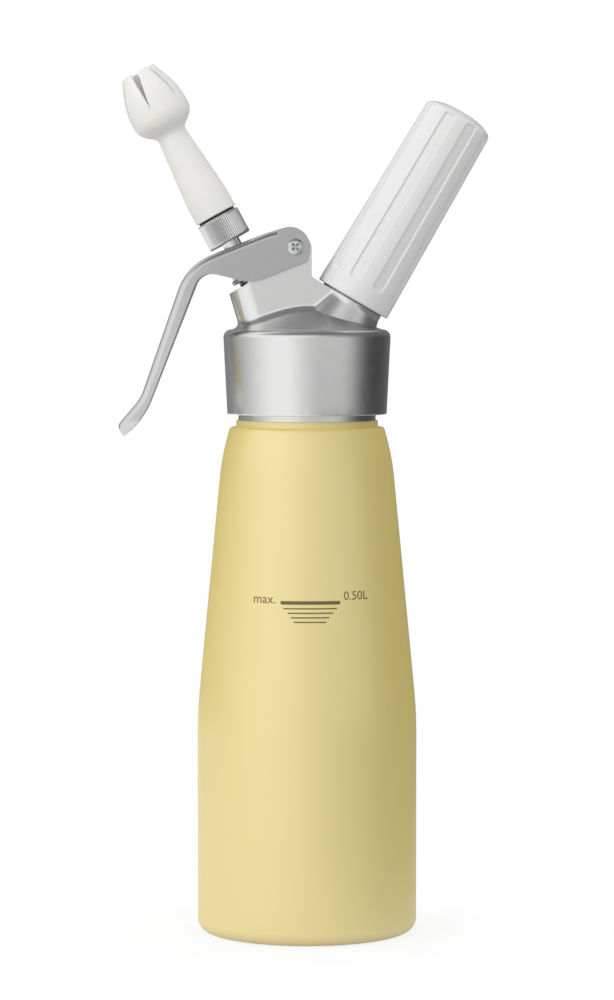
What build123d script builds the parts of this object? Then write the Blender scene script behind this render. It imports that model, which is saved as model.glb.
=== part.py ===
from build123d import *
from math import atan, cos, degrees, hypot, radians, sin, tan
import os

# Whipped cream dispenser: an aluminium bottle, a screwed-on cast head with a press valve worked by a
# lever, a charger holder for one 8 g gas cartridge and a tulip nozzle.
# Millimetres. The origin is on the bottle's axis in the plane it stands on. +Z is up, the nozzle and
# the lever point to -X and the charger holder to +X.

# ---------------------------------------------------------------- fits shared by all pieces
running_clearance = 0.05    # radial gap of a piece that slides or turns in a bore
seated_clearance = 0.02     # radial gap of a piece that is pressed or screwed in for good
socket_clearance = 0.4      # radial gap between the bottle's neck and the head's socket
thread_gap = 0.3            # radial gap between the plain cylinders that stand for two threads
lift_off_gap = 0.05         # face to face, where a piece lifts off or turns

# ---------------------------------------------------------------- bottle
bottle_radius = 40.0
bottle_wall = 1.2
base_corner = 4.75
base_ring_width = 9.0       # bottle's side to the inner edge of the ring that it stands on
base_dish_width = 12.0      # sloping border of the dished base
base_dish_rise = 6.0
barrel_height = 80.3        # where the straight barrel would meet the taper
barrel_blend = 150.0
taper_height = 93.6
taper_top_radius = 31.0
taper_blend = 88.0
shoulder_height = 10.6
shoulder_radius = 28.0
shoulder_round = 1.3
painted_neck_radius = 25.8
painted_neck_height = 2.4
bare_neck_radius = 25.0
bare_neck_height = 3.6
thread_core_radius = 23.9
thread_height = 14.7

# ---------------------------------------------------------------- head casting
gasket_thickness = 2.3
gasket_width = 4.6
collar_gap = 2.2            # bare neck that shows under the collar
collar_wall = 3.6           # round the socket, at the collar's foot
collar_flare = 1.55         # the collar's top wider than its foot
collar_top_round = 2.9
collar_land = 0.45          # flat ring between that round and the deck
deck_thickness = 12.4
deck_edge_round = 1.5
deck_crown_radius = 6.0
deck_slope = 23.0
cast_blend = 2.3            # fillet where the valve body rises from the deck and the pad
valve_tilt = 28.85          # valve axis from vertical, towards -X
valve_foot_x = -3.35        # where the valve axis meets the head's ceiling
boss_rise = 34.1            # ceiling to the outlet boss's rim, along the valve axis
boss_setback = 2.5          # deck's edge to the foot of the boss
rim_wall = 2.3              # wall outside the clip well, at the boss's round end
body_side_wall = 1.7        # wall outside the clip well, at the flat sides
inlet_tilt = 30.4           # inlet axis from vertical, towards +X
inlet_foot_x = 2.92         # where the inlet axis meets the head's ceiling
pad_rise = 26.43            # ceiling to the inlet pad, along the inlet axis
pad_radius = 12.0
pad_depth = 16.0
pad_rim = 1.5               # straight edge of the pad
pad_draft = 14.0            # and its flare below that
rib_reach = 6.0             # the valve body's end under the pad, across the inlet axis
rib_foot = 12.0             # and how far down the pad it still shows
tower_offset = 8.6          # valve axis to the foot of the tower
tower_radius = 5.6
tower_drop = 0.65           # centre of the tower's round top below the pivot
tower_shift = 0.25          # and beside it, towards +X
tower_root_round = 1.8

# ---------------------------------------------------------------- press valve, along the valve axis
stem_radius = 3.3
stem_bore_radius = 1.7
stem_neck_height = 16.6     # stem's bare length above the boss's rim
stem_thread_radius = 2.9
stem_thread_length = 5.4
stem_foot_radius = 2.2
stem_port_radius = 1.2
oring_section = 1.8
bush_height = 5.5
well_depth = 3.0            # counterbore that the clip sinks into when the lever is pressed
clip_radius = 6.85
clip_thickness = 1.6
clip_groove_depth = 0.6
clip_height = 1.7           # boss's rim to the clip's underside
clip_side_clearance = 0.45
thrust_collar_radius = 6.0
thrust_collar_height = 8.8
thrust_collar_round = 1.8
spring_length = 9.1
spring_wire_radius = 0.5
spring_side_gap = 0.4
spring_turns = 4
chamber_depth = 10.0
chamber_gap = 0.9           # cream passage round the stem
seat_ring_width = 1.8
seat_ring_height = 2.5
seal_overlap = 1.1          # how far the seal laps over the seat's mouth
seal_thickness = 2.0
nut_radius = 4.6
nut_height = 2.6

# ---------------------------------------------------------------- lever and pivot
pivot_arm = 19.6            # valve axis to pivot
pivot_height = 3.2          # pivot above the boss's rim, along the valve axis
side_clearance = 0.25       # lever cheek to casting
cheek_wall = 1.6
web_wall = 1.6
web_edge_round = 2.4
nose_front_reach = 11.5     # the lever's side outline, corner by corner from the pivot, across and along
nose_front_rise = 5.5       # the valve axis
nose_round = 7.3
nose_heel_reach = 1.35
nose_heel_drop = 6.8
nose_heel_round = 2.2
crest_reach = 8.15
crest_rise = 9.75
crest_round = 60.0
shoulder_bend_reach = 37.45
shoulder_bend_rise = 13.3
shoulder_bend_round = 21.0
handle_length = 51.0
handle_drop_angle = 41.8    # handle below the line across the valve axis
handle_bend_round = 15.0
flare_length = 13.2
flare_drop_angle = 20.9
flare_end_round = 2.6
tip_depth = 4.6
arch_setback = 3.4          # inner corner of the shoulder bend, back from its outer corner
arch_drop = 4.35            # and below it
arch_round = 6.0
heel_reach = 19.5
heel_drop = 4.1
heel_round = 14.0
throat_setback = 9.35       # inner corner where the handle flares, back from the tip
throat_rise = 2.0           # and above it
throat_round = 30.0
web_end_reach = 3.0         # the web stops this far short of the pivot, on the stem's side
stem_slot_half_width = 3.9
stem_slot_away = 4.3        # slot in the web, from the valve axis away from the pivot
stem_slot_toward = 5.8      # and towards the pivot
handle_half_width = 8.7
handle_taper_drop = 14.0    # pivot down to where the lever starts to narrow
handle_taper_length = 34.0
handle_taper_blend = 40.0
handle_end_round = 6.5
pivot_radius = 2.5
pivot_head_radius = 3.6
pivot_head_height = 1.1
screw_head_radius = 3.05
screw_head_height = 1.9
screw_radius = 1.45
screw_length = 10.0

# ---------------------------------------------------------------- nozzle, along the valve axis
coupler_radius = 8.1
coupler_height = 9.8
coupler_chamfer = 0.4
coupler_floor = 5.1         # thickness that is threaded onto the stem
shank_radius = 5.5
shank_gap = 0.4             # stem's end to the nozzle's shank
ring_radius = 7.0
ring_thickness = 0.8
nozzle_foot_radius = 7.9
nozzle_foot_length = 7.9    # straight part above the coupler
nozzle_taper_length = 26.0  # and from there to the waist
nozzle_taper_blend = 25.0
nozzle_waist_radius = 5.35
nozzle_waist_round = 1.2
tulip_length = 25.0         # waist to tip
tulip_radius = 11.05
tulip_foot_height = 4.4     # waist to where the tulip's underside would meet its belly
tulip_foot_round = 6.9
tulip_belly_height = 14.1   # waist to where the belly would meet the leaves
tulip_belly_round = 30.0
tulip_mouth_radius = 6.5
tulip_wall = 2.0
cream_bore_radius = 3.0
slot_count = 6
slot_width = 3.2
slot_length = 14.3
slot_phase = -101.0

# ---------------------------------------------------------------- inlet, along the inlet axis
stud_radius = 10.8
stud_height = 15.0
spigot_radius = 6.0
spigot_length = 8.0
gas_channel_radius = 1.5
washer_width = 1.1
washer_thickness = 0.6
pin_base_height = 5.0       # pad to the underside of the piercing pin
pin_base_thickness = 1.4
needle_radius = 1.0
needle_bore_radius = 0.45
needle_length = 3.4
seal_ring_thickness = 1.9
charger_tip_gap = 0.1

# ---------------------------------------------------------------- charger: a standard 8 g cartridge
charger_radius = 9.3
charger_length = 65.5
charger_wall = 1.3
charger_neck_radius = 4.4
charger_neck_length = 7.4
charger_shoulder_length = 6.0
charger_shoulder_round = 5.0
charger_end_round = 7.0
charger_neck_clearance = 0.5
charger_side_clearance = 0.6
charger_end_clearance = 0.4
pierced_clearance = 0.2

# ---------------------------------------------------------------- charger holder
holder_foot_radius = 14.3
holder_top_radius = 13.0
holder_edge_round = 2.6
holder_crown_radius = 7.5
holder_crown_height = 2.5
holder_crown_round = 14.0
holder_end_wall = 4.6
holder_thread_margin = 1.0
flute_count = 9
flute_width = 4.4
flute_depth = 0.8
flute_start = 7.2           # from the holder's rim
flute_top_margin = 1.9
flute_corner = 1.5
flute_phase = -105.0

# ---------------------------------------------------------------- gas check valve in the ceiling
check_x = 10.5
check_chamber_radius = 3.6
check_chamber_depth = 7.0
check_port_radius = 1.4
check_plug_thickness = 1.8
poppet_radius = 2.5
poppet_thickness = 1.6
poppet_guide_radius = 1.0
poppet_guide_length = 4.4
check_wire_radius = 0.25
check_spring_turns = 4
plug_hole_radius = 0.5
plug_hole_circle = 2.3
plug_hole_count = 6

# ---------------------------------------------------------------- places worked out from the sizes
base_ring_radius = bottle_radius - base_ring_width
shoulder_z = barrel_height + taper_height + shoulder_height
painted_neck_z = shoulder_z + painted_neck_height
bare_neck_z = painted_neck_z + bare_neck_height
mouth_z = bare_neck_z + thread_height
ceiling_z = mouth_z + gasket_thickness
collar_foot_z = painted_neck_z + collar_gap
collar_top_z = ceiling_z + deck_thickness
socket_radius = bare_neck_radius + socket_clearance
collar_foot_radius = socket_radius + collar_wall
collar_top_radius = collar_foot_radius + collar_flare
deck_edge_radius = collar_top_radius - collar_top_round - collar_land

valve_frame = Pos(valve_foot_x, 0, ceiling_z) * Rot(0, -valve_tilt, 0) * Pos(0, 0, boss_rise)
inlet_frame = Pos(inlet_foot_x, 0, ceiling_z) * Rot(0, inlet_tilt, 0) * Pos(0, 0, pad_rise)

well_radius = clip_radius + clip_side_clearance
body_half_width = well_radius + body_side_wall
guide_radius = stem_radius + running_clearance
housing_radius = guide_radius + oring_section
chamber_radius = stem_radius + chamber_gap
seat_ring_radius = chamber_radius + seat_ring_width
bush_top = clip_height - spring_length
bush_foot = bush_top - bush_height
housing_foot = bush_foot - oring_section
chamber_foot = housing_foot - chamber_depth
seat_face = chamber_foot - seat_ring_height
seal_face = seat_face - lift_off_gap
clip_top = clip_height + clip_thickness
coupler_top = stem_neck_height + coupler_height
stem_top = stem_neck_height + stem_thread_length
nozzle_foot = coupler_top + ring_thickness + lift_off_gap
nozzle_waist = nozzle_foot + nozzle_foot_length + nozzle_taper_length
nozzle_top = nozzle_waist + tulip_length

cheek_inner = body_half_width + side_clearance
cheek_outer = cheek_inner + cheek_wall

holder_foot = washer_thickness + lift_off_gap
pin_top = pin_base_height + pin_base_thickness
charger_tip = pin_top + seal_ring_thickness + charger_tip_gap
charger_top = charger_tip + charger_length
holder_top = charger_top + charger_end_clearance + holder_end_wall
stud_bore_radius = charger_neck_radius + charger_neck_clearance
holder_bore_radius = charger_radius + charger_side_clearance
holder_thread_radius = stud_radius + thread_gap
check_seat_z = ceiling_z + check_chamber_depth


def valve_point(across, along):
    """(x, z) of a point in the valve's own frame: across the axis towards the pivot, and along it."""
    tilt = radians(valve_tilt)
    x = valve_foot_x + across * cos(tilt) - (boss_rise + along) * sin(tilt)
    z = ceiling_z + across * sin(tilt) + (boss_rise + along) * cos(tilt)
    return x, z


def inlet_point(across, along):
    """(x, z) of a point in the inlet's own frame: across the axis away from the tower, and along it."""
    tilt = radians(inlet_tilt)
    x = inlet_foot_x + across * cos(tilt) + (pad_rise + along) * sin(tilt)
    z = ceiling_z - across * sin(tilt) + (pad_rise + along) * cos(tilt)
    return x, z


pivot_x, pivot_z = valve_point(pivot_arm, pivot_height)
lever_frame = valve_frame * Pos(pivot_arm, 0, pivot_height)


# ---------------------------------------------------------------- drawing helpers
def outline(*corners):
    """Face in the XZ plane from (x, z) corners. A third number rounds that corner."""
    points = [(corner[0], 0, corner[1]) for corner in corners]
    rounds = [corner[2] if len(corner) == 3 else 0 for corner in corners]
    return make_face(FilletPolyline(*points, radius=rounds, close=True))


def turned(*corners):
    """Solid turned about Z from (radius, height) corners. A third number rounds that corner."""
    return revolve(outline(*corners), Axis.Z)


def slab(face, half_width):
    """An XZ face thickened evenly to both sides of the plane y = 0."""
    return extrude(face, amount=half_width, both=True)


def inset(corners, distance):
    """An open chain of rounded corners moved to its left by distance, with its rounds kept concentric."""
    count = len(corners)
    normals = []
    for start, end in zip(corners, corners[1:]):
        run, rise = end[0] - start[0], end[1] - start[1]
        length = hypot(run, rise)
        normals.append((-rise / length, run / length))
    moved = []
    for index, corner in enumerate(corners):
        before = normals[max(index - 1, 0)]
        after = normals[min(index, count - 2)]
        reach = distance / (1 + before[0] * after[0] + before[1] * after[1])
        x = corner[0] + (before[0] + after[0]) * reach
        z = corner[1] + (before[1] + after[1]) * reach
        turns_left = before[0] * after[1] - before[1] * after[0] > 0
        rounding = corner[2] if len(corner) == 3 else 0
        if rounding:
            rounding = max(rounding - distance, 0) if turns_left else rounding + distance
        moved.append((x, z, rounding))
    return moved


def coil(mean_radius, wire_radius, height, turns):
    """Round-wire helical spring standing on z = 0, with its wire inside that height."""
    rise = height - 2 * wire_radius
    path = Helix(pitch=rise / turns, height=rise, radius=mean_radius)
    section = Plane(origin=path @ 0, z_dir=path % 0) * Circle(wire_radius)
    return Pos(0, 0, wire_radius) * sweep(section, path=path, is_frenet=True)


# ---------------------------------------------------------------- bottle
def make_bottle():
    shell = [
        (0, base_dish_rise),
        (base_ring_radius - base_dish_width, base_dish_rise, 10.0),
        (base_ring_radius, 0, 3.0),
        (bottle_radius, 0, base_corner),
        (bottle_radius, barrel_height, barrel_blend),
        (taper_top_radius, barrel_height + taper_height, taper_blend),
        (shoulder_radius, shoulder_z, shoulder_round),
    ]
    outer = turned(
        *shell,
        (painted_neck_radius, shoulder_z),
        (painted_neck_radius, painted_neck_z, 0.35),
        (bare_neck_radius, painted_neck_z),
        (bare_neck_radius, bare_neck_z),
        (thread_core_radius, bare_neck_z),
        (thread_core_radius, mouth_z, 0.4),
        (0, mouth_z),
    )
    neck = [(thread_core_radius, shoulder_z), (thread_core_radius, mouth_z + bottle_wall)]
    cavity = turned(*inset(shell + neck, bottle_wall), (0, mouth_z + bottle_wall))
    return outer - cavity


# ---------------------------------------------------------------- head
def make_collar_and_deck():
    crown_z = collar_top_z + (deck_edge_radius - deck_crown_radius) * tan(radians(deck_slope))
    return turned(
        (0, ceiling_z),
        (socket_radius, ceiling_z),
        (socket_radius, collar_foot_z),
        (collar_foot_radius, collar_foot_z, 0.5),
        (collar_top_radius, collar_top_z, collar_top_round),
        (deck_edge_radius, collar_top_z, deck_edge_round),
        (deck_crown_radius, crown_z),
        (0, crown_z),
    )


def make_valve_body():
    """The flat-sided casting that carries the outlet boss and the tower, with a full-round outer end."""
    root_z = ceiling_z + deck_thickness / 4
    rim_x, rim_z = valve_point(-well_radius - rim_wall, 0)
    foot_x = boss_setback - deck_edge_radius
    foot_z = collar_top_z + boss_setback * tan(radians(deck_slope))
    draft = (foot_x - rim_x) / (rim_z - foot_z)
    tower_x = pivot_x + tower_shift
    tower_z = pivot_z - tower_drop
    tower_edge_x = tower_x + tower_radius
    centre_x, centre_z = inlet_point(0, 0)
    root_edge_z = centre_z + (centre_x - tower_edge_x) * tan(radians(inlet_tilt))
    side = outline(
        (rim_x + (rim_z - root_z) * draft, root_z),
        (rim_x, rim_z),
        valve_point(tower_offset, 0),
        (tower_x - tower_radius, tower_z),
        (tower_edge_x, tower_z),
        (tower_edge_x, root_edge_z, tower_root_round),
        inlet_point(rib_reach, 0),
        inlet_point(rib_reach, -rib_foot),
        (inlet_point(rib_reach, -rib_foot)[0] - 1, root_z),
    )
    body = slab(side, body_half_width)
    end_edges = body.edges().filter_by(GeomType.LINE).filter_by(Axis.Y, reverse=True)
    body = fillet(end_edges.sort_by(Axis.X)[:2], body_half_width - running_clearance)
    top = Pos(tower_x, 0, tower_z) * Rot(90, 0, 0) * Cylinder(tower_radius, 2 * body_half_width)
    return body + top


def make_inlet_pad():
    foot_radius = pad_radius + (pad_depth - pad_rim) * tan(radians(pad_draft))
    return inlet_frame * turned(
        (0, -pad_depth), (foot_radius, -pad_depth), (pad_radius, -pad_rim, 6.0), (pad_radius, 0), (0, 0)
    )


def valve_bores():
    """Everything that is bored along the valve axis, from the clip well down to the seat's recess."""
    return valve_frame * turned(
        (0, clip_top),
        (well_radius, clip_top),
        (well_radius, -well_depth),
        (housing_radius, -well_depth),
        (housing_radius, housing_foot),
        (chamber_radius, housing_foot),
        (chamber_radius, chamber_foot),
        (seat_ring_radius, chamber_foot),
        (seat_ring_radius, -boss_rise - seat_ring_radius),
        (0, -boss_rise - seat_ring_radius),
    )


def inlet_bores():
    """The stud's socket with its gas channel, which meets the check valve's port."""
    port_z = ceiling_z + (check_x - inlet_foot_x) / tan(radians(inlet_tilt))
    channel_end = (port_z - ceiling_z) / cos(radians(inlet_tilt)) - pad_rise
    socket = inlet_frame * turned(
        (0, 1),
        (spigot_radius, 1),
        (spigot_radius, -spigot_length),
        (gas_channel_radius, -spigot_length),
        (gas_channel_radius, channel_end - gas_channel_radius / 2),
        (0, channel_end - gas_channel_radius / 2),
    )
    port = Pos(check_x, 0, 0) * turned(
        (0, ceiling_z - 1),
        (check_chamber_radius, ceiling_z - 1),
        (check_chamber_radius, check_seat_z),
        (check_port_radius, check_seat_z),
        (check_port_radius, port_z),
        (0, port_z),
    )
    return socket + port


def make_head_body():
    collar, valve_body, pad = make_collar_and_deck(), make_valve_body(), make_inlet_pad()
    base = collar + pad
    casting = base + valve_body
    casting = fillet(new_edges(base, valve_body, combined=casting), cast_blend)
    pivot_bore = Pos(pivot_x, 0, pivot_z) * Rot(90, 0, 0) * Cylinder(
        pivot_radius + running_clearance, 3 * body_half_width
    )
    return casting - valve_bores() - inlet_bores() - pivot_bore


def make_head_gasket():
    outer = socket_radius - seated_clearance
    return turned(
        (outer - gasket_width, mouth_z),
        (outer, mouth_z),
        (outer, ceiling_z),
        (outer - gasket_width, ceiling_z),
    )


# ---------------------------------------------------------------- press valve
def make_guide_bush():
    return valve_frame * turned(
        (guide_radius, bush_foot),
        (housing_radius - seated_clearance, bush_foot),
        (housing_radius - seated_clearance, bush_top),
        (guide_radius, bush_top),
    )


def make_stem_oring():
    section_radius = oring_section / 2
    centre = (guide_radius + section_radius, 0, bush_foot - section_radius)
    ring = Plane(origin=centre, z_dir=(0, 1, 0)) * Circle(section_radius - seated_clearance)
    return valve_frame * revolve(ring, Axis.Z)


def make_valve_seat():
    return valve_frame * turned(
        (chamber_radius, seat_face),
        (seat_ring_radius - seated_clearance, seat_face),
        (seat_ring_radius - seated_clearance, chamber_foot),
        (chamber_radius, chamber_foot),
    )


def make_valve_stem():
    """Hollow stem: cream enters by two cross ports above the seat and leaves by the threaded end."""
    foot = seal_face - seal_thickness - nut_height * 0.75
    groove_radius = stem_radius - clip_groove_depth
    port_height = chamber_foot + chamber_depth / 2
    port_step = 3 * stem_port_radius
    stem = turned(
        (0, foot),
        (stem_foot_radius, foot),
        (stem_foot_radius, seal_face),
        (stem_radius, seal_face),
        (stem_radius, clip_height),
        (groove_radius, clip_height),
        (groove_radius, clip_top),
        (stem_radius, clip_top),
        (stem_radius, stem_neck_height),
        (stem_thread_radius, stem_neck_height),
        (stem_thread_radius, stem_top, 0.4),
        (0, stem_top),
    )
    bore_foot = port_height - port_step / 2
    bore = turned(
        (0, bore_foot), (stem_bore_radius, bore_foot), (stem_bore_radius, stem_top + 1), (0, stem_top + 1)
    )
    port = Pos(0, 0, port_height) * Rot(90, 0, 45) * Cylinder(stem_port_radius, 3 * stem_radius)
    crossed_port = Pos(0, 0, port_step) * Rot(0, 0, 90) * port
    return valve_frame * (stem - bore - port - crossed_port)


def make_spring_clip():
    """Snap ring in the stem's groove. The spring lifts it and the thrust collar pushes it down."""
    inner = stem_radius - clip_groove_depth + seated_clearance
    ring = turned(
        (inner, clip_height), (clip_radius, clip_height, 0.5), (clip_radius, clip_top, 0.5), (inner, clip_top)
    )
    mouth = Pos(0, 0, clip_height) * Box(
        clip_radius, 2 * inner, 3 * clip_thickness, align=(Align.MIN, Align.CENTER, Align.CENTER)
    )
    return valve_frame * (ring - mouth)


def make_thrust_collar():
    inner = stem_radius + running_clearance
    top = clip_top + thrust_collar_height
    return valve_frame * turned(
        (inner, clip_top),
        (thrust_collar_radius, clip_top),
        (thrust_collar_radius, top, thrust_collar_round),
        (inner, top),
    )


def make_valve_spring():
    mean_radius = housing_radius - spring_side_gap - spring_wire_radius
    return valve_frame * Pos(0, 0, bush_top) * coil(
        mean_radius, spring_wire_radius, spring_length, spring_turns
    )


def make_valve_seal():
    outer = chamber_radius + seal_overlap
    foot = seal_face - seal_thickness
    inner = stem_foot_radius + seated_clearance
    return valve_frame * turned((inner, foot), (outer, foot, 0.4), (outer, seal_face), (inner, seal_face))


def make_valve_nut():
    top = seal_face - seal_thickness
    foot = top - nut_height
    inner = stem_foot_radius + seated_clearance
    screwed = top - nut_height * 0.75
    return valve_frame * turned(
        (0, foot), (nut_radius, foot, 1.2), (nut_radius, top), (inner, top), (inner, screwed), (0, screwed)
    )


# ---------------------------------------------------------------- lever
def lever_back():
    """Corners of the lever's outer side from the nose to the tip, across and along from the pivot."""
    handle_turn = radians(handle_drop_angle)
    flare_turn = radians(flare_drop_angle)
    bend_x = -shoulder_bend_reach - handle_length * cos(handle_turn)
    bend_z = shoulder_bend_rise - handle_length * sin(handle_turn)
    end_x = bend_x - flare_length * cos(flare_turn)
    end_z = bend_z - flare_length * sin(flare_turn)
    return [
        (nose_front_reach, nose_front_rise, nose_round),
        (-crest_reach, crest_rise, crest_round),
        (-shoulder_bend_reach, shoulder_bend_rise, shoulder_bend_round),
        (bend_x, bend_z, handle_bend_round),
        (end_x, end_z, flare_end_round),
        (end_x, end_z - tip_depth),
    ]


def web_end(chain):
    """Where the web stops, on the line between a chain's nose and crest corners."""
    nose, crest = chain[0], chain[1]
    slope = (crest[1] - nose[1]) / (crest[0] - nose[0])
    return -web_end_reach, crest[1] + slope * (-web_end_reach - crest[0])


def lever_side():
    """The lever's whole side outline, placed at the pivot."""
    back = lever_back()
    tip_x, tip_z = back[-1]
    return lever_frame * outline(
        *back,
        (tip_x + throat_setback, tip_z + throat_rise, throat_round),
        (arch_setback - shoulder_bend_reach, shoulder_bend_rise - arch_drop, arch_round),
        (-heel_reach, -heel_drop, heel_round),
        (nose_heel_reach, -nose_heel_drop, nose_heel_round),
    )


def lever_hollow_side():
    """What lies inside the web: it is open towards the bottle and, past the web's end, at the nose."""
    inside = inset(lever_back(), web_wall)
    far = 2 * handle_length
    return lever_frame * outline(
        (-web_end_reach, far), web_end(inside), *inside[1:-1], (inside[-1][0], -far), (far, -far), (far, far)
    )


def lever_plan(shrink, end_z, end_round):
    """Seen along X and taken right through: full width at the cheeks, narrower down the handle."""
    half = cheek_outer - shrink
    narrow = handle_half_width - shrink
    taper_z = pivot_z - handle_taper_drop
    narrow_z = taper_z - handle_taper_length
    top_z = pivot_z + handle_length
    face = outline(
        (-narrow, end_z, end_round),
        (narrow, end_z, end_round),
        (narrow, narrow_z, handle_taper_blend),
        (half, taper_z, handle_taper_blend),
        (half, top_z),
        (-half, top_z),
        (-half, taper_z, handle_taper_blend),
        (-narrow, narrow_z, handle_taper_blend),
    )
    return extrude(Rot(0, 0, 90) * face, 2 * handle_length, dir=(-1, 0, 0), both=True)


def web_corners(end_z):
    """What bending the sheet leaves off the two edges where the web turns into the cheeks."""
    back = [web_end(lever_back()), *lever_back()[1:]]
    rolled_depth = inset(back, 1.1 * web_edge_round)
    strip = slab(lever_frame * outline(*back, *reversed(rolled_depth)), cheek_outer)
    strip &= lever_plan(0, end_z - handle_end_round, 0)
    track = lever_frame * FilletPolyline(
        *[(point[0], 0, point[1]) for point in back], radius=[point[2] for point in back[1:-1]]
    )

    def is_bend(edge):
        spots = [edge @ 0, edge @ 0.5, edge @ 1]
        off_track = max(track.distance_to(Vertex(spot.X, 0, spot.Z)) for spot in spots)
        return off_track < seated_clearance and abs(spots[1].Y) > handle_half_width / 2

    return strip - fillet(strip.edges().filter_by(is_bend), web_edge_round)


def make_lever():
    """A channel: one web bent over the stem and down the handle, with a cheek each side of the tower."""
    tip_z = lever_side().bounding_box().min.Z
    blank = slab(lever_side(), cheek_outer) & lever_plan(0, tip_z, handle_end_round)
    hollow = slab(lever_hollow_side(), cheek_inner)
    hollow &= lever_plan(cheek_wall, tip_z + cheek_wall, handle_end_round - cheek_wall)
    slot_middle = (stem_slot_toward - stem_slot_away) / 2
    slot = valve_frame * Pos(slot_middle, 0, clip_top + thrust_collar_height) * extrude(
        SlotOverall(stem_slot_away + stem_slot_toward, 2 * stem_slot_half_width), nose_round
    )
    pivot_bore = Pos(pivot_x, 0, pivot_z) * Rot(90, 0, 0) * Cylinder(
        pivot_radius + seated_clearance, 3 * cheek_outer
    )
    return blank - web_corners(tip_z) - hollow - slot - pivot_bore


def make_pivot_sleeve():
    """Smooth sleeve the lever turns on: flat head at the back, screw hole at the front."""
    head_foot = cheek_outer
    sleeve = turned(
        (0, -cheek_outer),
        (pivot_radius, -cheek_outer),
        (pivot_radius, head_foot),
        (pivot_head_radius, head_foot),
        (pivot_head_radius, head_foot + pivot_head_height, 0.5),
        (0, head_foot + pivot_head_height),
    )
    hole = Pos(0, 0, -cheek_outer) * Cylinder(
        screw_radius + seated_clearance, 2 * screw_length + 1, align=Align.CENTER
    )
    return Pos(pivot_x, 0, pivot_z) * Rot(-90, 0, 0) * (sleeve - hole)


def make_pivot_screw():
    screw = turned(
        (0, -screw_head_height),
        (screw_head_radius, -screw_head_height, 1.3),
        (screw_head_radius, 0),
        (screw_radius, 0),
        (screw_radius, screw_length, 0.4),
        (0, screw_length),
    )
    return Pos(pivot_x, -cheek_outer, pivot_z) * Rot(-90, 0, 0) * screw


# ---------------------------------------------------------------- nozzle
def make_nozzle_coupler():
    hole_radius = stem_thread_radius + thread_gap
    socket_wall_radius = shank_radius + thread_gap
    socket_foot = stem_neck_height + coupler_floor
    return valve_frame * turned(
        (hole_radius, stem_neck_height),
        (coupler_radius - coupler_chamfer, stem_neck_height),
        (coupler_radius, stem_neck_height + coupler_chamfer),
        (coupler_radius, coupler_top - coupler_chamfer),
        (coupler_radius - coupler_chamfer, coupler_top),
        (socket_wall_radius, coupler_top),
        (socket_wall_radius, socket_foot),
        (hole_radius, socket_foot),
    )


def make_nozzle_ring():
    inner = shank_radius + thread_gap
    return valve_frame * turned(
        (inner, coupler_top),
        (ring_radius, coupler_top, 0.3),
        (ring_radius, coupler_top + ring_thickness, 0.3),
        (inner, coupler_top + ring_thickness),
    )


def tulip_corners():
    return [
        (nozzle_waist_radius, nozzle_waist, nozzle_waist_round),
        (tulip_radius, nozzle_waist + tulip_foot_height, tulip_foot_round),
        (tulip_radius, nozzle_waist + tulip_belly_height, tulip_belly_round),
        (tulip_mouth_radius, nozzle_top),
    ]


def make_nozzle_tip():
    """Shank, tapering tube and hollow tulip whose leaves are parted by slots that narrow to nothing."""
    shank_foot = stem_top + shank_gap
    body = turned(
        (0, shank_foot),
        (shank_radius, shank_foot, 0.5),
        (shank_radius, nozzle_foot),
        (nozzle_foot_radius, nozzle_foot, 0.4),
        (nozzle_foot_radius, nozzle_foot + nozzle_foot_length, nozzle_taper_blend),
        *tulip_corners(),
        (0, nozzle_top),
    )
    inside = inset(tulip_corners(), tulip_wall)
    last, mouth = inside[-2], inside[-1]
    stretch = 1 + tulip_wall / (mouth[1] - last[1])
    above = (last[0] + (mouth[0] - last[0]) * stretch, last[1] + (mouth[1] - last[1]) * stretch)
    hollow = turned(
        (0, shank_foot - 1),
        (cream_bore_radius, shank_foot - 1),
        (cream_bore_radius, inside[1][1] - tulip_wall),
        *inside[1:-1],
        above,
        (0, above[1]),
    )
    slot = Rot(90, 0, 90) * extrude(
        Pos(0, nozzle_top) * Polygon((0, -slot_length), (slot_width / 2, 0), (slot_width / 2, 1),
                                     (-slot_width / 2, 1), (-slot_width / 2, 0), align=None),
        2 * tulip_radius,
    )
    tip = body - hollow
    for index in range(slot_count):
        tip -= Rot(0, 0, slot_phase + index * 360 / slot_count) * slot
    return valve_frame * tip


# ---------------------------------------------------------------- inlet
def make_inlet_stud():
    spigot = spigot_radius - seated_clearance
    return inlet_frame * turned(
        (gas_channel_radius, -spigot_length),
        (spigot, -spigot_length),
        (spigot, 0),
        (stud_radius, 0),
        (stud_radius, stud_height, 0.8),
        (stud_bore_radius, stud_height, 0.5),
        (stud_bore_radius, pin_base_height),
        (gas_channel_radius, pin_base_height),
    )


def make_inlet_washer():
    inner = stud_radius + seated_clearance
    outer = inner + washer_width
    return inlet_frame * turned((inner, 0), (outer, 0), (outer, washer_thickness), (inner, washer_thickness))


def make_piercing_pin():
    base = stud_bore_radius - seated_clearance
    point = pin_top + needle_length
    return inlet_frame * turned(
        (needle_bore_radius, pin_base_height),
        (base, pin_base_height),
        (base, pin_top),
        (needle_radius, pin_top, 0.4),
        (needle_radius, point - needle_radius),
        (needle_bore_radius + seated_clearance, point),
        (needle_bore_radius, point),
    )


def make_charger_seal():
    inner = needle_radius + thread_gap
    outer = stud_bore_radius - seated_clearance
    top = pin_top + seal_ring_thickness
    return inlet_frame * turned((inner, pin_top), (outer, pin_top), (outer, top, 0.4), (inner, top, 0.4))


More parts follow.
